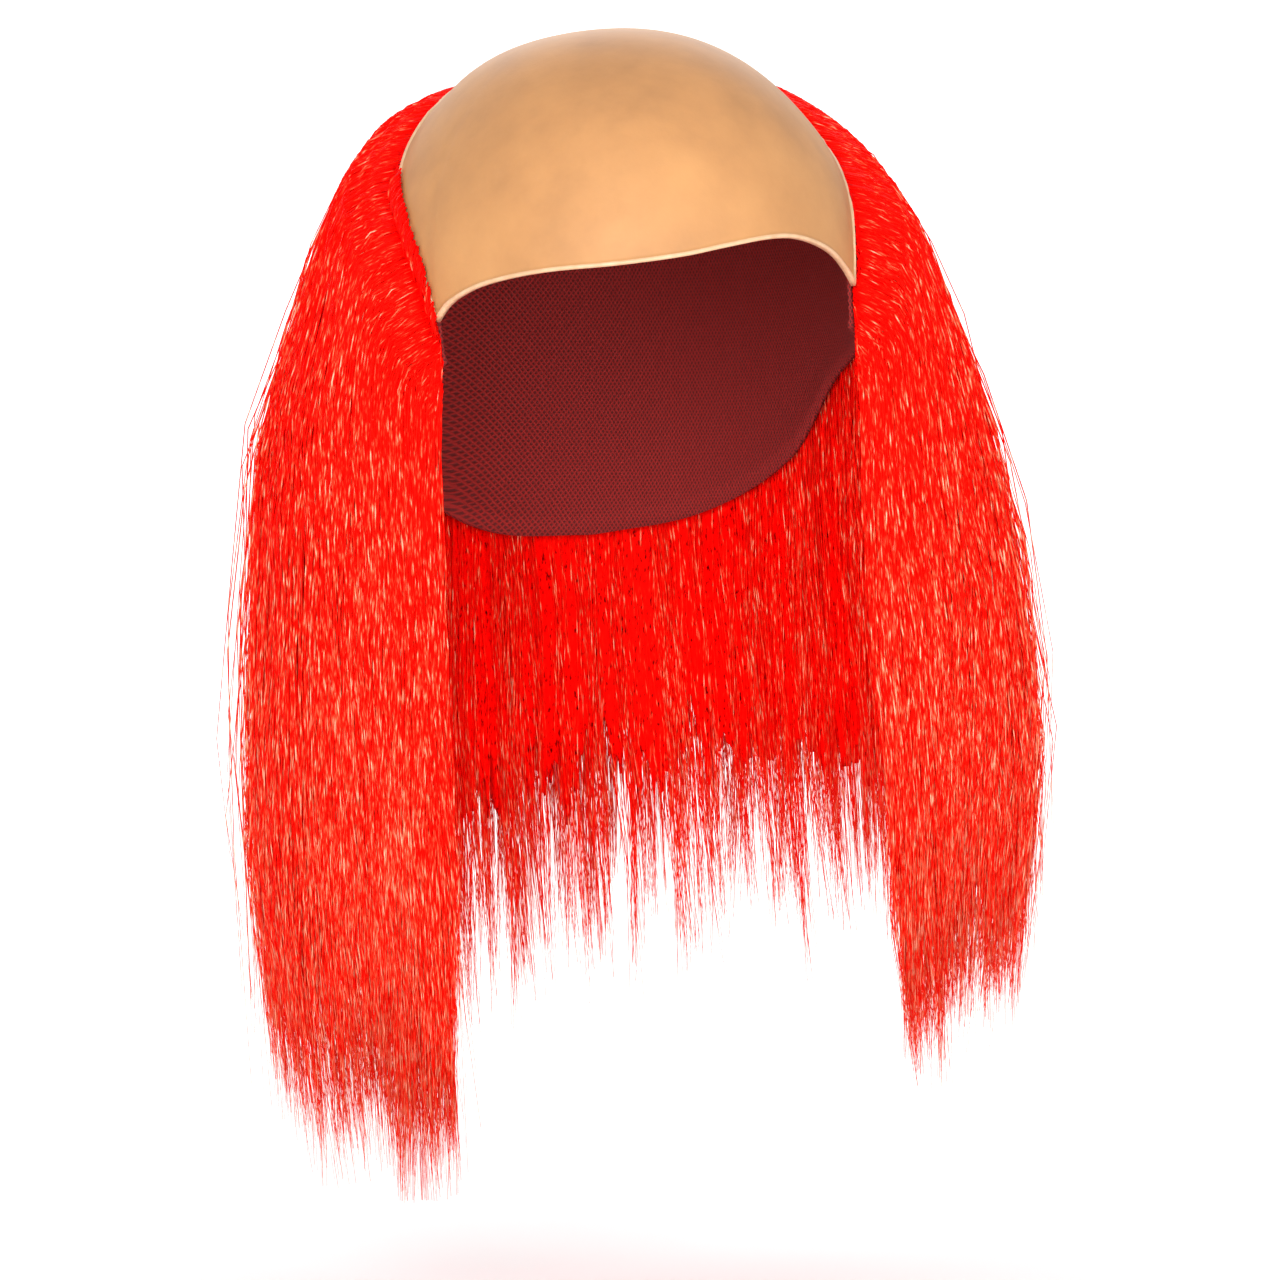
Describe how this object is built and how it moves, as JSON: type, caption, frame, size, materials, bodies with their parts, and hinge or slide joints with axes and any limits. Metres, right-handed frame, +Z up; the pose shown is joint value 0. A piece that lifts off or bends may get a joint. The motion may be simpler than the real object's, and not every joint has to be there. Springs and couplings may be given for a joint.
{
  "type": "bald clown wig",
  "caption": "Flesh-coloured bald dome with long straight red hair hanging round its sides and back, worn over a head.",
  "frame": {"origin": "head_seat: the inside of the dome at the crown, where the head carries the wig", "axes": "+Z up, +Y towards the back of the head, the forehead edge faces -Y, +X is the wearer's left"},
  "size_m": [0.2627, 0.2315, 0.3572],
  "materials": {
    "dome_latex": "satin latex",
    "base_net": "matt elastic net",
    "red_hair": "shiny synthetic fibre",
    "root_knots": "knotted synthetic fibre"
  },
  "bodies": {
    "root": {"bald_dome": "dome_latex", "base_cap": "base_net", "hair_left": "red_hair", "hair_back": "red_hair", "hair_right": "red_hair", "root_band": "root_knots"}
  },
  "joints": []
}
